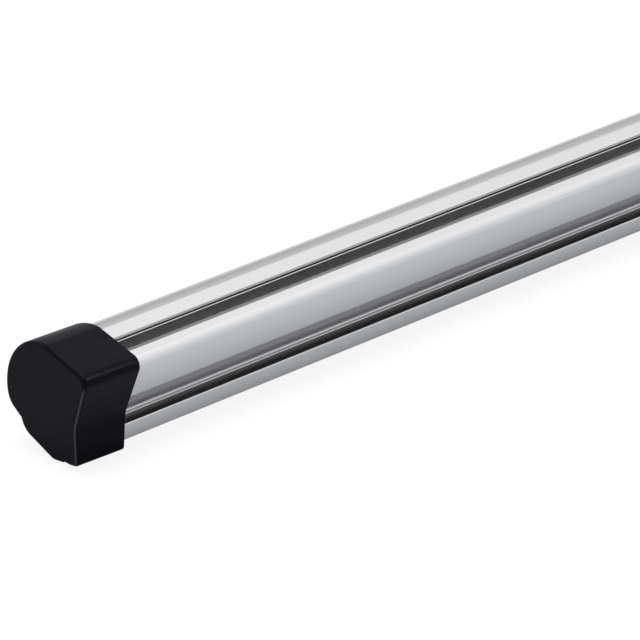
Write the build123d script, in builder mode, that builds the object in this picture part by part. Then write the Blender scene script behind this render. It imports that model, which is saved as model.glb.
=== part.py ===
"""Roof rack crossbar: an aluminium extrusion with a moulded cap pushed over each end.

X runs along the bar, +Y points to the rounded nose, and Z is up. The origin is on the
bar's base, at the middle of its length and on the centre plane of the foot slot.
"""

import os
from math import cos, radians, sin, tan

from build123d import *

# The whole bar
bar_length = 1200.0
wall = 2.2
web = 2.0

# The foot rail along the base, which the feet clamp
rail_face = 5.1
rail_height = 7.6
rail_edge_round = 0.5
foot_slot_width = 4.6
foot_slot_depth = 5.4
slot_edge_round = 0.4
base_flat = 14.56
underside_tilt = 21.8
haunch_height = 5.15
haunch_radius = 7.5
far_rail_lean = 21.8
far_rail_height = 10.2
groove_height = 2.8
near_groove_depth = 3.2
far_groove_depth = 3.8

# The near side, from the groove's lip up to the shoulder
lip_face = 1.8
lip_height = 2.1
bead_radius = 0.35
crease_height = 21.1
crease_round = 0.8
near_lean = 19.9
shoulder_reach = 14.2
shoulder_radius = 3.2

# The nose, and the ridge where the top slope meets it
nose_radius = 25.0
nose_reach = 37.9
nose_height = 22.85
chin_start = 16.5
chin_radius = 8.0
ridge_angle = 3.2
ridge_round = 4.0
top_slope = 14.6

# The slot in the top, where a landing slopes down to its neck from the near side
top_slot_centre = 1.65
top_slot_width = 5.4
top_slot_neck = 7.0
top_slot_lip = 1.45
strip_groove_height = 1.0
strip_groove_depth = 1.5
bolt_channel_width = 11.0
bolt_channel_height = 5.0
landing_reach = 6.6
landing_tilt = 17.0
landing_round = 0.5

# Rounds inside the hollow chambers, and how close two points count as one
chamber_round = 0.8
touching = 0.001

# The end caps
cap_wall = 2.3
cap_clearance = 0.15
sleeve_depth = 25.5
end_wall = 2.0
end_gap = 0.3
end_rake_plan = 3.76
end_rake_side = 1.87
end_edge_round = 1.8
rim_rake = 3.4
rim_height = 15.0
rim_margin = 5.0
flank_blend_radius = 20.0
cap_shoulder_radius = 2.4
nose_bulge = 0.4
skin_fall = 1.3
step_round = 0.8
keel_reach = 9.1
keel_round = 3.5
foot_drop = 0.6
notch_radius = 4.0
notch_depth = 1.1
rib_thickness = 1.6
rib_pitch = 10.0
rib_count = 5
plug_depth = 16.0
tongue_height = 3.0
tongue_clearance = 0.2

# Heights and places worked out from the driving dimensions
nose_y = nose_reach - nose_radius
slope = tan(radians(top_slope))
lean = tan(radians(near_lean))


def on_nose(radius, angle):
    """The place on the nose's arc, or on one beside it, at an angle above the far side."""
    return (nose_y + radius * cos(radians(angle)), nose_height + radius * sin(radians(angle)))


ridge = on_nose(nose_radius, 90 + ridge_angle)
chin = on_nose(nose_radius, -chin_start)
ridge_y, ridge_z = ridge
chin_y, chin_z = chin


def top_height(y):
    """Height of the top slope over a place y."""
    return ridge_z - (ridge_y - y) * slope


shoulder_z = top_height(-shoulder_reach)
crease_y = -shoulder_reach + lean * (shoulder_z - crease_height)
near_groove_top = rail_height + groove_height
far_groove_top = far_rail_height + groove_height
lip_top = near_groove_top + lip_height
underside_slope = tan(radians(underside_tilt))
haunch_y = base_flat + haunch_height / underside_slope
far_rail_reach = haunch_y + (far_rail_height - haunch_height) * tan(radians(far_rail_lean))
slot_near = top_slot_centre - top_slot_width / 2
slot_far = top_slot_centre + top_slot_width / 2
slot_top = top_height(slot_far)
neck_bottom = slot_top - top_slot_neck
channel_bottom = neck_bottom - bolt_channel_height
landing_z = top_height(-landing_reach)
slot_near_z = landing_z - (slot_near + landing_reach) * tan(radians(landing_tilt))
channel_near = top_slot_centre - bolt_channel_width / 2
channel_far = top_slot_centre + bolt_channel_width / 2
near_chamber_end = min(channel_near - web, -landing_reach - chamber_round)
far_chamber_start = max(channel_far + web, slot_far + strip_groove_depth + wall)
strip_groove_top = slot_top - top_slot_lip
strip_groove_bottom = strip_groove_top - strip_groove_height
slot_half = foot_slot_width / 2
tongue_half = slot_half - tongue_clearance
bar_end = bar_length / 2
cap_rim = sleeve_depth - bar_end
keel_drop = (base_flat - keel_reach) * underside_slope
near_groove_end = near_groove_depth - lip_face
far_groove_end = far_rail_reach - far_groove_depth
far_lip_reach = far_rail_reach + groove_height * (chin_y - far_rail_reach) / (chin_z - far_rail_height)
near_groove_back = max(near_groove_end, slot_half) + wall
cap_grow = cap_clearance + cap_wall
blank_half = sleeve_depth + rim_margin
grid_span = 2 * (shoulder_reach + nose_reach)
notch_foot = -foot_drop - (keel_drop - foot_drop) * rail_face / (rail_face + keel_reach) - cap_grow

slot_far_edge = (slot_far, slot_top)
slot_near_edge = (slot_near, slot_near_z)
landing_edge = (-landing_reach, landing_z)
shoulder = (-shoulder_reach, shoulder_z)
crease = (crease_y, crease_height)
keel = (keel_reach, -keel_drop)
lip_top_edge = (-lip_face, lip_top)
ledge_root = (-lip_face, rail_height)
ledge_edge = (-rail_face, rail_height)
near_foot = (-rail_face, 0)
base_end = (base_flat, 0)
haunch = (haunch_y, haunch_height)
far_rail_edge = (far_rail_reach, far_rail_height)
far_lip_edge = (far_lip_reach, far_groove_top)
flank = (-rail_face, shoulder_z - (shoulder_reach - rail_face) / lean)
step = (far_rail_reach + cap_grow, far_rail_height - cap_grow / 2)


def nose_side(radius):
    """The lines from the near foot round the base, the underside and the nose to the ridge."""
    Polyline(near_foot, base_end, haunch, far_rail_edge, on_nose(radius, -chin_start))
    CenterArc((nose_y, nose_height), radius, -chin_start, 90 + ridge_angle + chin_start)


def block(y_low, z_low, y_high, z_high, mode):
    """A rectangle of the section between two corners."""
    with Locations(((y_low + y_high) / 2, (z_low + z_high) / 2)):
        Rectangle(y_high - y_low, z_high - z_low, mode=mode)


def round_corners(sketch, radius, *points):
    """Rounds the sketch's own corners that lie at the given points."""
    fillet([sketch.vertices().sort_by_distance(point)[0] for point in points], radius)


def straight_corners(sketch):
    """The sketch's own corners between two straight edges."""
    lines = sketch.edges().filter_by(GeomType.LINE)
    return [v for v in sketch.vertices() if len([e for e in lines if e.distance_to(v) < touching]) == 2]


# The outer line of the bar, closed across its slots and grooves
with BuildSketch(Plane.YZ) as bar_outline:
    with BuildLine():
        nose_side(nose_radius)
        Polyline(ridge, slot_far_edge, slot_near_edge, landing_edge, shoulder, crease, lip_top_edge)
        Polyline(lip_top_edge, ledge_root, ledge_edge, near_foot)
    make_face()

# The hollow chambers: the inside of the wall, less the walls of the slots, the grooves and the web
with BuildSketch(Plane.YZ) as chambers:
    add(bar_outline.sketch_local)
    offset(amount=-wall, kind=Kind.INTERSECTION)
    block(near_chamber_end, channel_bottom - web, far_chamber_start, ridge_z, Mode.SUBTRACT)
    block(-web / 2, 0, web / 2, channel_bottom, Mode.SUBTRACT)
    block(-slot_half - wall, 0, slot_half + wall, foot_slot_depth + wall, Mode.SUBTRACT)
    block(-rail_face, rail_height - wall, near_groove_back, near_groove_top + wall, Mode.SUBTRACT)
    block(far_groove_end - wall, 0, nose_reach, far_groove_top + wall, Mode.SUBTRACT)
    fillet(straight_corners(chambers), chamber_round)

# The bar: one hollow extrusion with its slots and grooves
with BuildPart() as bar_extrusion:
    with BuildSketch(Plane.YZ) as section:
        add(bar_outline.sketch_local)
        round_corners(section, chin_radius, chin)
        round_corners(section, haunch_radius, haunch)
        round_corners(section, ridge_round, ridge)
        round_corners(section, shoulder_radius, shoulder)
        round_corners(section, crease_round, crease)
        round_corners(section, landing_round, landing_edge)
        round_corners(section, rail_edge_round, near_foot, ledge_edge)
        with Locations((-lip_face, lip_top - bead_radius), (-lip_face, near_groove_top + bead_radius)):
            Circle(bead_radius)
        block(slot_near, neck_bottom, slot_far, ridge_z, Mode.SUBTRACT)
        block(channel_near, channel_bottom, channel_far, neck_bottom, Mode.SUBTRACT)
        block(slot_far, strip_groove_bottom, slot_far + strip_groove_depth, strip_groove_top, Mode.SUBTRACT)
        block(-slot_half, 0, slot_half, foot_slot_depth, Mode.SUBTRACT)
        block(-rail_face, rail_height, near_groove_end, near_groove_top, Mode.SUBTRACT)
        block(far_groove_end, far_rail_height, nose_reach, far_groove_top, Mode.SUBTRACT)
        round_corners(section, slot_edge_round, slot_near_edge, slot_far_edge)
        round_corners(section, slot_edge_round, (slot_far, strip_groove_bottom), (-slot_half, 0), (slot_half, 0))
        round_corners(section, rail_edge_round, far_rail_edge, far_lip_edge)
        add(chambers.sketch_local, mode=Mode.SUBTRACT)
    extrude(amount=bar_end, both=True)
bar_extrusion.part.label = "bar_extrusion"


def cap_line(radius):
    """The bar's outer line as the caps follow it, without its slots and waist, with a nose radius."""
    with BuildSketch(Plane.YZ) as face:
        with BuildLine():
            nose_side(radius)
            Polyline(on_nose(radius, 90 + ridge_angle), shoulder, flank, near_foot)
        make_face()
        round_corners(face, chin_radius, on_nose(radius, -chin_start))
        round_corners(face, haunch_radius, haunch)
        round_corners(face, ridge_round, on_nose(radius, 90 + ridge_angle))
        round_corners(face, cap_shoulder_radius, shoulder)
        round_corners(face, flank_blend_radius, flank)
    return face.sketch_local


# The outside of a cap: that line with a bulged nose and a keel, grown by the cap's wall
with BuildSketch(Plane.YZ) as cap_skin:
    add(cap_line(nose_radius + nose_bulge))
    with BuildLine():
        Polyline(near_foot, (-rail_face, -foot_drop), keel, base_end, close=True)
    make_face()
    round_corners(cap_skin, keel_round, keel)
    offset(amount=cap_grow, kind=Kind.ARC)
    round_corners(cap_skin, step_round, step)

# The space inside a cap, which clears the bar
with BuildSketch(Plane.YZ) as cap_bore:
    add(cap_line(nose_radius))
    offset(amount=cap_clearance, kind=Kind.ARC)

# The ribs inside a cap, seen along the bar
with BuildSketch(Plane.YZ) as rib_grid:
    with Locations((top_slot_centre, nose_height)):
        Rectangle(grid_span, rib_thickness)
        with GridLocations(rib_pitch, rib_pitch, rib_count, 1):
            Rectangle(rib_thickness, grid_span)

end_plane = Plane.YZ.offset(-bar_end)
skin_plane = Plane(origin=(-bar_end, 0, 0), x_dir=(0, 1, 0), z_dir=(1, 0, -tan(radians(skin_fall))))
rim_plane = Plane(origin=(cap_rim, 0, rim_height), z_dir=(1, 0, -tan(radians(rim_rake))))


def raked_plane(distance):
    """The plane of a cap's end face, a distance beyond the bar's end at the nose."""
    outward = (-1, tan(radians(end_rake_plan)), -tan(radians(end_rake_side)))
    return Plane(origin=(-bar_end - distance, nose_reach, nose_height), z_dir=outward)


def cap_block(outline, plane, distance):
    """A solid on an outline, from beyond the sleeve's rim to a raked plane past the bar's end."""
    with BuildPart() as solid:
        with BuildSketch(plane):
            add(outline)
        extrude(amount=blank_half, both=True)
        split(bisect_by=raked_plane(distance), keep=Keep.BOTTOM)
    return solid.part


cap_space = cap_block(cap_bore.sketch_local, end_plane, end_gap)

# The ribs that stop the cap against the bar's end
with BuildPart() as stop_ribs:
    with BuildSketch(end_plane):
        add(rib_grid.sketch_local)
    extrude(amount=-sleeve_depth)
    add(cap_space, mode=Mode.INTERSECT)

# The left cap: a raked shell over the bar, with ribs and a tongue that go into the bar's end
with BuildPart() as end_cap_left:
    add(cap_block(cap_skin.sketch_local, skin_plane, end_gap + end_wall))
    split(bisect_by=rim_plane, keep=Keep.BOTTOM)
    fillet(end_cap_left.faces().sort_by(Axis.X)[0].outer_wire().edges(), end_edge_round)
    with BuildSketch(skin_plane):
        with Locations((0, notch_foot + notch_depth - notch_radius)):
            Circle(notch_radius)
    extrude(amount=blank_half, both=True, mode=Mode.SUBTRACT)
    add(cap_space, mode=Mode.SUBTRACT)
    add(stop_ribs.part)
    with BuildSketch(end_plane):
        add(chambers.sketch_local)
        offset(amount=-cap_clearance, kind=Kind.INTERSECTION)
        add(rib_grid.sketch_local, mode=Mode.INTERSECT)
    extrude(amount=plug_depth)
    with BuildSketch(end_plane):
        block(-tongue_half, -cap_clearance, tongue_half, tongue_height, Mode.ADD)
    extrude(amount=plug_depth)
end_cap_left.part.label = "end_cap_left"

# The right cap is the left one's mirror image
with BuildPart() as end_cap_right:
    add(mirror(end_cap_left.part, about=Plane.YZ))
end_cap_right.part.label = "end_cap_right"

os.makedirs("parts", exist_ok=True)
export_step(bar_extrusion.part, "parts/bar_extrusion.step")
export_step(end_cap_left.part, "parts/end_cap_left.step")
export_step(end_cap_right.part, "parts/end_cap_right.step")
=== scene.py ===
"""Looks of the roof rack crossbar: an anodised bar with a moulded cap on each end, on a white floor."""

from math import cos, radians, sin

import bpy
from mathutils import Matrix, Vector


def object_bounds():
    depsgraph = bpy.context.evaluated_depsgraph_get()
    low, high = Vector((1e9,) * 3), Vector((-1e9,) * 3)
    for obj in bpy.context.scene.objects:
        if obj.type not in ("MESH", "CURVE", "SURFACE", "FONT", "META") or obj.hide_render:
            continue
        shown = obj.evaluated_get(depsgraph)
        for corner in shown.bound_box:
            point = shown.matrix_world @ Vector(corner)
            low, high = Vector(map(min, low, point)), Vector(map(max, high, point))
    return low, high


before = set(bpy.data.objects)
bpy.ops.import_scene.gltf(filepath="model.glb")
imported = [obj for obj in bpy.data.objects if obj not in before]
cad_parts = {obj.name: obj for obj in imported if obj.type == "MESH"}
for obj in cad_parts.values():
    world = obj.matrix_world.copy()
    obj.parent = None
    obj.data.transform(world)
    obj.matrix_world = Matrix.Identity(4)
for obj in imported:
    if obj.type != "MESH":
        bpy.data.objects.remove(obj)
cad_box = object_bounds()

MM = 0.001
image_size = 640

# The camera: a long lens, above the near side and beyond the bar's left end
sensor_width = 36.0
focal_length_px = 5773.0
pitch_down = 23.47
yaw = 44.98
cap_bottom_pixel = (76.2, 466.0)
cap_bottom_place = (-604.4 * MM, -7.4 * MM, -1.6 * MM)
cap_bottom_distance = 2550.0 * MM
clip_near = 0.1
clip_far = 100.0

# The greys of the studio's walls, from the horizon (0) to overhead (1)
far_wall = ((0.0, 0.38), (0.17, 0.48), (0.40, 0.66), (0.57, 0.84), (0.66, 0.94), (0.80, 1.06), (1.0, 1.15))
near_wall = ((0.0, 0.84), (0.20, 0.83), (0.36, 0.90), (0.65, 1.00), (0.80, 1.00), (1.0, 1.10))
wall_blend = (-0.3, 0.35)

# How bright the walls are where something mirrors them, and as light from the far and near sides
mirrored_strength = 1.4
far_fill = 0.9
near_fill = 0.2

# The soft lamp overhead, and a small one that the caps alone mirror, along their shoulders
overhead_lamp = {"towards": (0.06, 0.05, 1.0), "strength": 2.55, "spread": 32.0}
shoulder_lamp = {"towards": (0.65, -0.52, 0.55), "strength": 1.0, "spread": 16.0}

# The floor: its size, its white, and the share of that white that the camera and a mirror see
floor_size = 40.0
floor_white = 1.05
floor_seen_white = 0.85
floor_mirrored_white = 0.1

# Where most values of a noise texture lie
noise_span = (0.3, 0.7)


def colour(hex_value):
    """An sRGB hex colour as linear red, green, blue and alpha."""
    channels = [int(hex_value[i:i + 2], 16) / 255 for i in (1, 3, 5)]
    linear = [c / 12.92 if c <= 0.04045 else ((c + 0.055) / 1.055) ** 2.4 for c in channels]
    return (*linear, 1.0)


def add_node(tree, kind, links=None, **settings):
    """Adds a node, sets its settings and inputs, and links its inputs to other nodes' sockets."""
    node = tree.nodes.new(kind)
    for name, value in settings.items():
        setattr(node, name, value)
    for name, value in (links or {}).items():
        if isinstance(value, bpy.types.NodeSocket):
            tree.links.new(value, node.inputs[name])
        else:
            node.inputs[name].default_value = value
    return node


def new_material(name):
    """An empty node material and its tree."""
    material = bpy.data.materials.new(name)
    material.use_nodes = True
    material.node_tree.nodes.clear()
    return material, material.node_tree


def share_at(tree, most, *ramps):
    """How much of a painted shade or highlight lies at a point: at most so much, where every ramp is at its
    full end.

    A ramp is a measure of the point, and the two values in mm between which it comes in.
    """
    share = most
    for measure, none, full in ramps:
        ramp = add_node(tree, "ShaderNodeMapRange", {
            "Value": measure, "From Min": none * MM, "From Max": full * MM, "To Max": share,
        }, interpolation_type="SMOOTHSTEP")
        share = ramp.outputs["Result"]
    return share


def anodised_aluminium():
    """Extruded aluminium, clear anodised.

    The eye sees a light satin metal that mirrors the studio softly, with fine die lines drawn out
    along the bar, a faint cloudiness from handling, and painted shade in the grooves and on the foot rail,
    which stands for the dark reflections there.
    """
    die_line_spacing = 0.7   # real die lines are about 0.1 mm apart, too fine to show
    die_line_length = 400.0
    die_line_depth = 0.006
    cloud_size = 45.0
    roughness_between = (0.20, 0.27)
    # How dark the painted shade gets in the grooves and beads, and on the foot rail's face
    full_painted_shade = 1.0
    rail_painted_shade = 0.35

    material, tree = new_material("anodised_aluminium")
    place = add_node(tree, "ShaderNodeTexCoord")
    lines_along = 1 / (die_line_length * MM)
    lines_across = 1 / (die_line_spacing * MM)
    drawn_out = add_node(tree, "ShaderNodeMapping", {
        "Vector": place.outputs["Object"], "Scale": (lines_along, lines_across, lines_across),
    })
    die_lines = add_node(tree, "ShaderNodeTexNoise", {
        "Vector": drawn_out.outputs["Vector"], "Scale": 1.0, "Detail": 3.0, "Roughness": 0.6,
    })
    clouds = add_node(tree, "ShaderNodeTexNoise", {
        "Vector": place.outputs["Object"], "Scale": 1 / (cloud_size * MM), "Detail": 4.0, "Roughness": 0.55,
    })
    uneven = add_node(tree, "ShaderNodeMix", {
        "Factor": 0.5, "A": die_lines.outputs["Fac"], "B": clouds.outputs["Fac"],
    })
    roughness = add_node(tree, "ShaderNodeMapRange", {
        "Value": uneven.outputs["Result"], "From Min": noise_span[0], "From Max": noise_span[1],
        "To Min": roughness_between[0], "To Max": roughness_between[1],
    })
    clean = add_node(tree, "ShaderNodeMix", {
        "Factor": die_lines.outputs["Fac"], "A": colour("#C0C0C1"), "B": colour("#CECECF"),
    }, data_type="RGBA")

    # Painted shade, by how far across the bar and how high up a point lies: darker in the grooves, along
    # the beads and on the foot rail's face
    point = add_node(tree, "ShaderNodeSeparateXYZ", {0: place.outputs["Object"]})
    y = point.outputs["Y"]
    z = point.outputs["Z"]
    near_groove_shade = share_at(tree, full_painted_shade, (y, -4.7, -3.7), (y, 6.0, 3.0), (z, 7.3, 7.5), (z, 9.5, 9.0))
    beads_shade = share_at(tree, full_painted_shade, (y, -2.25, -1.84), (y, 6.0, 3.0), (z, 7.3, 7.5), (z, 12.5, 12.3))
    strip_groove_shade = share_at(tree, full_painted_shade, (y, 4.4, 4.7), (y, 8.0, 7.5), (z, 43.3, 43.5), (z, 44.6, 44.4))
    far_groove_shade = share_at(tree, full_painted_shade, (y, 24.0, 26.0), (y, 33.0, 29.0), (z, 10.0, 10.2), (z, 13.2, 13.0))
    rail_face_shade = share_at(tree, rail_painted_shade, (y, -4.5, -5.0), (z, 7.6, 7.1))
    painted_shade = near_groove_shade
    for more_painted_shade in (beads_shade, strip_groove_shade, far_groove_shade, rail_face_shade):
        deeper_shade = add_node(tree, "ShaderNodeMath", {0: painted_shade, 1: more_painted_shade}, operation="MAXIMUM")
        painted_shade = deeper_shade.outputs["Value"]
    # The grooves, beads and foot rail are darkened towards this grey: painted shade standing for dark
    # reflections
    tint = add_node(tree, "ShaderNodeMix", {
        "Factor": painted_shade, "A": clean.outputs["Result"], "B": colour("#868687"),
    }, data_type="RGBA")

    bump = add_node(tree, "ShaderNodeBump", {
        "Height": die_lines.outputs["Fac"], "Distance": die_line_depth * MM, "Strength": 1.0,
    })
    shader = add_node(tree, "ShaderNodeBsdfPrincipled", {
        "Base Color": tint.outputs["Result"],
        "Metallic": 1.0,
        "Specular Tint": colour("#F0F0F0"),
        "Roughness": roughness.outputs["Result"],
        "Normal": bump.outputs["Normal"],
    })
    add_node(tree, "ShaderNodeOutputMaterial", {"Surface": shader.outputs["BSDF"]})
    return material


def moulded_plastic():
    """Injection-moulded black nylon with a spark-eroded grain.

    The eye sees a near-black, slightly blue satin skin with a fine even grain that breaks up the
    highlights, faint paler rub marks drawn out along the bar, and a painted highlight: a paler line
    along the near corner of each end.
    """
    grain_size = 0.45        # the real grain is about 0.15 mm, too fine to show
    grain_depth = 0.012
    flow_size = 18.0
    rub_width = 2.5
    rub_length = 30.0
    rub_onset = (0.50, 0.75)
    roughness_between = (0.28, 0.42)
    gloss = 0.035            # low, because the studio that the bar mirrors would turn the caps grey

    material, tree = new_material("moulded_black_plastic")
    place = add_node(tree, "ShaderNodeTexCoord")
    grain = add_node(tree, "ShaderNodeTexNoise", {
        "Vector": place.outputs["Object"], "Scale": 1 / (grain_size * MM), "Detail": 2.0, "Roughness": 0.6,
    })
    flow = add_node(tree, "ShaderNodeTexNoise", {
        "Vector": place.outputs["Object"], "Scale": 1 / (flow_size * MM), "Detail": 5.0, "Roughness": 0.6,
    })
    roughness = add_node(tree, "ShaderNodeMapRange", {
        "Value": flow.outputs["Fac"], "From Min": noise_span[0], "From Max": noise_span[1],
        "To Min": roughness_between[0], "To Max": roughness_between[1],
    })
    drawn_out = add_node(tree, "ShaderNodeMapping", {
        "Vector": place.outputs["Object"],
        "Scale": (1 / (rub_length * MM), 1 / (rub_width * MM), 1 / (rub_width * MM)),
    })
    rub_noise = add_node(tree, "ShaderNodeTexNoise", {
        "Vector": drawn_out.outputs["Vector"], "Scale": 1.0, "Detail": 4.0, "Roughness": 0.6,
    })
    rubbed = add_node(tree, "ShaderNodeMapRange", {
        "Value": rub_noise.outputs["Fac"], "From Min": rub_onset[0], "From Max": rub_onset[1],
    }, interpolation_type="SMOOTHSTEP")
    skin = add_node(tree, "ShaderNodeMix", {
        "Factor": flow.outputs["Fac"], "A": colour("#0B0A0E"), "B": colour("#0F0E13"),
    }, data_type="RGBA")
    rubbed_skin = add_node(tree, "ShaderNodeMix", {
        "Factor": rubbed.outputs["Result"], "A": skin.outputs["Result"], "B": colour("#17161B"),
    }, data_type="RGBA")

    # A painted highlight along the near corner of each end, by how far out a point lies, square to the
    # raked end face
    end_rake = (0.0657, -0.0327)
    point = add_node(tree, "ShaderNodeSeparateXYZ", {0: place.outputs["Object"]})
    from_middle = add_node(tree, "ShaderNodeMath", {0: point.outputs["X"]}, operation="ABSOLUTE")
    raked_in_plan = add_node(tree, "ShaderNodeMath", {
        0: point.outputs["Y"], 1: end_rake[0], 2: from_middle.outputs["Value"],
    }, operation="MULTIPLY_ADD")
    raked = add_node(tree, "ShaderNodeMath", {
        0: point.outputs["Z"], 1: end_rake[1], 2: raked_in_plan.outputs["Value"],
    }, operation="MULTIPLY_ADD")
    out = raked.outputs["Value"]
    y = point.outputs["Y"]
    z = point.outputs["Z"]
    painted_highlight_share = share_at(tree, 1.0, (out, 603.05, 603.45), (out, 604.0, 603.8), (z, 39.0, 36.0), (y, -5.0, -6.5))
    # The near corner is lighter towards this grey: a painted highlight
    tint = add_node(tree, "ShaderNodeMix", {
        "Factor": painted_highlight_share, "A": rubbed_skin.outputs["Result"], "B": colour("#403F45"),
    }, data_type="RGBA")

    bump = add_node(tree, "ShaderNodeBump", {
        "Height": grain.outputs["Fac"], "Distance": grain_depth * MM, "Strength": 1.0,
    })
    shader = add_node(tree, "ShaderNodeBsdfPrincipled", {
        "Base Color": tint.outputs["Result"],
        "Roughness": roughness.outputs["Result"],
        "Specular IOR Level": gloss,
        "Specular Tint": colour("#D6D2EE"),
        "Normal": bump.outputs["Normal"],
    })
    add_node(tree, "ShaderNodeOutputMaterial", {"Surface": shader.outputs["BSDF"]})
    return material


def dress(node, material):
    """Gives a CAD node its material."""
    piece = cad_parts[node]
    for slot in piece.material_slots:
        slot.material = material
    if not piece.material_slots:
        piece.data.materials.append(material)


def make_camera():
    """The camera at the photograph's viewing angle, placed by the pixel where the cap's bottom shows."""
    ahead = Vector((
        cos(radians(yaw)) * cos(radians(pitch_down)),
        sin(radians(yaw)) * cos(radians(pitch_down)),
        -sin(radians(pitch_down)),
    ))
    right = Vector((sin(radians(yaw)), -cos(radians(yaw)), 0))
    up = right.cross(ahead)
    across = (cap_bottom_pixel[0] - image_size / 2) / focal_length_px * cap_bottom_distance
    above = (image_size / 2 - cap_bottom_pixel[1]) / focal_length_px * cap_bottom_distance
    place = Vector(cap_bottom_place) - ahead * cap_bottom_distance - right * across - up * above
    data = bpy.data.cameras.new("camera")
    data.sensor_width = sensor_width
    data.lens = sensor_width * focal_length_px / image_size
    data.clip_start = clip_near
    data.clip_end = clip_far
    camera = bpy.data.objects.new("camera", data)
    turn = Matrix((right, up, -ahead)).transposed().to_4x4()
    camera.matrix_world = Matrix.Translation(place) @ turn
    bpy.context.scene.collection.objects.link(camera)
    bpy.context.scene.camera = camera


def make_floor(height):
    """A pale floor that shows as white, with the object's shadow on it."""
    material, tree = new_material("white_floor")
    path = add_node(tree, "ShaderNodeLightPath")
    mirrored = add_node(tree, "ShaderNodeMath", {
        0: path.outputs["Is Glossy Ray"], 1: path.outputs["Is Transmission Ray"],
    }, operation="ADD", use_clamp=True)
    mirrored_white = add_node(tree, "ShaderNodeMath", {
        0: mirrored.outputs["Value"], 1: floor_mirrored_white,
    }, operation="MULTIPLY")
    white_share = add_node(tree, "ShaderNodeMath", {
        0: path.outputs["Is Camera Ray"], 1: floor_seen_white, 2: mirrored_white.outputs["Value"],
    }, operation="MULTIPLY_ADD")
    paint = add_node(tree, "ShaderNodeBsdfDiffuse", {"Color": colour("#E9ECEE")})
    white = add_node(tree, "ShaderNodeEmission", {"Color": colour("#FFFFFF"), "Strength": floor_white})
    mix = add_node(tree, "ShaderNodeMixShader", {
        0: white_share.outputs["Value"], 1: paint.outputs["BSDF"], 2: white.outputs["Emission"],
    })
    add_node(tree, "ShaderNodeOutputMaterial", {"Surface": mix.outputs["Shader"]})
    half = floor_size / 2
    mesh = bpy.data.meshes.new("floor")
    corners = [(-half, -half, height), (half, -half, height), (half, half, height), (-half, half, height)]
    mesh.from_pydata(corners, [], [(0, 1, 2, 3)])
    mesh.materials.append(material)
    floor = bpy.data.objects.new("floor", mesh)
    bpy.context.scene.collection.objects.link(floor)


def wall_colour(tree, height, stops):
    """A wall's grey by height."""
    ramp = add_node(tree, "ShaderNodeValToRGB", {0: height})
    levels = ramp.color_ramp.elements
    while len(levels) < len(stops):
        levels.new(0.5)
    for level, (position, grey) in zip(levels, stops):
        level.position = position
        level.color = (grey, grey, grey, 1)
    return ramp.outputs["Color"]


def make_studio():
    """Walls that the bar mirrors, which light the floor and the caps more from the far side."""
    world = bpy.data.worlds.new("studio")
    world.use_nodes = True
    tree = world.node_tree
    tree.nodes.clear()
    place = add_node(tree, "ShaderNodeTexCoord")
    direction = add_node(tree, "ShaderNodeSeparateXYZ", {0: place.outputs["Generated"]})
    far_side = add_node(tree, "ShaderNodeMapRange", {
        "Value": direction.outputs["Y"], "From Min": wall_blend[0], "From Max": wall_blend[1],
    }, interpolation_type="SMOOTHSTEP")
    walls = add_node(tree, "ShaderNodeMix", {
        "Factor": far_side.outputs["Result"],
        "A": wall_colour(tree, direction.outputs["Z"], near_wall),
        "B": wall_colour(tree, direction.outputs["Z"], far_wall),
    }, data_type="RGBA")
    fill = add_node(tree, "ShaderNodeMapRange", {
        "Value": far_side.outputs["Result"], "To Min": near_fill, "To Max": far_fill,
    })

    # A ray from the camera or a mirror sees the bright walls, unless it bounced off something matt
    path = add_node(tree, "ShaderNodeLightPath")
    seen_or_glossy = add_node(tree, "ShaderNodeMath", {
        0: path.outputs["Is Camera Ray"], 1: path.outputs["Is Glossy Ray"],
    }, operation="ADD", use_clamp=True)
    seen = add_node(tree, "ShaderNodeMath", {
        0: seen_or_glossy.outputs["Value"], 1: path.outputs["Is Transmission Ray"],
    }, operation="ADD", use_clamp=True)
    after_matt = add_node(tree, "ShaderNodeMath", {
        0: path.outputs["Diffuse Depth"], 1: 1.0,
    }, operation="MINIMUM")
    mirrored = add_node(tree, "ShaderNodeMath", {
        0: seen.outputs["Value"], 1: after_matt.outputs["Value"],
    }, operation="SUBTRACT", use_clamp=True)
    strength = add_node(tree, "ShaderNodeMapRange", {
        "Value": mirrored.outputs["Value"], "To Min": fill.outputs["Result"], "To Max": mirrored_strength,
    })
    light = add_node(tree, "ShaderNodeBackground", {
        "Color": walls.outputs["Result"], "Strength": strength.outputs["Result"],
    })
    add_node(tree, "ShaderNodeOutputWorld", {"Surface": light.outputs["Background"]})
    bpy.context.scene.world = world


def make_lamp(name, settings, mirrored_by=()):
    """A broad soft lamp. Where it names the nodes that mirror it, it lights nothing else."""
    data = bpy.data.lights.new(name, "SUN")
    data.energy = settings["strength"]
    data.angle = radians(settings["spread"])
    lamp = bpy.data.objects.new(name, data)
    lamp.rotation_euler = Vector(settings["towards"]).to_track_quat("Z", "Y").to_euler()
    bpy.context.scene.collection.objects.link(lamp)
    if mirrored_by:
        receivers = bpy.data.collections.new(name + "_receivers")
        for node in mirrored_by:
            receivers.objects.link(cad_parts[node])
        lamp.light_linking.receiver_collection = receivers
        lamp.visible_diffuse = False


make_camera()
make_studio()
make_lamp("overhead_lamp", overhead_lamp)
make_lamp("shoulder_lamp", shoulder_lamp, mirrored_by=("end_cap_left", "end_cap_right"))
make_floor(cad_box[0].z)

metal = anodised_aluminium()
plastic = moulded_plastic()
dress("bar_extrusion", metal)
dress("end_cap_left", plastic)
dress("end_cap_right", plastic)

bpy.context.scene.view_settings.view_transform = "Standard"
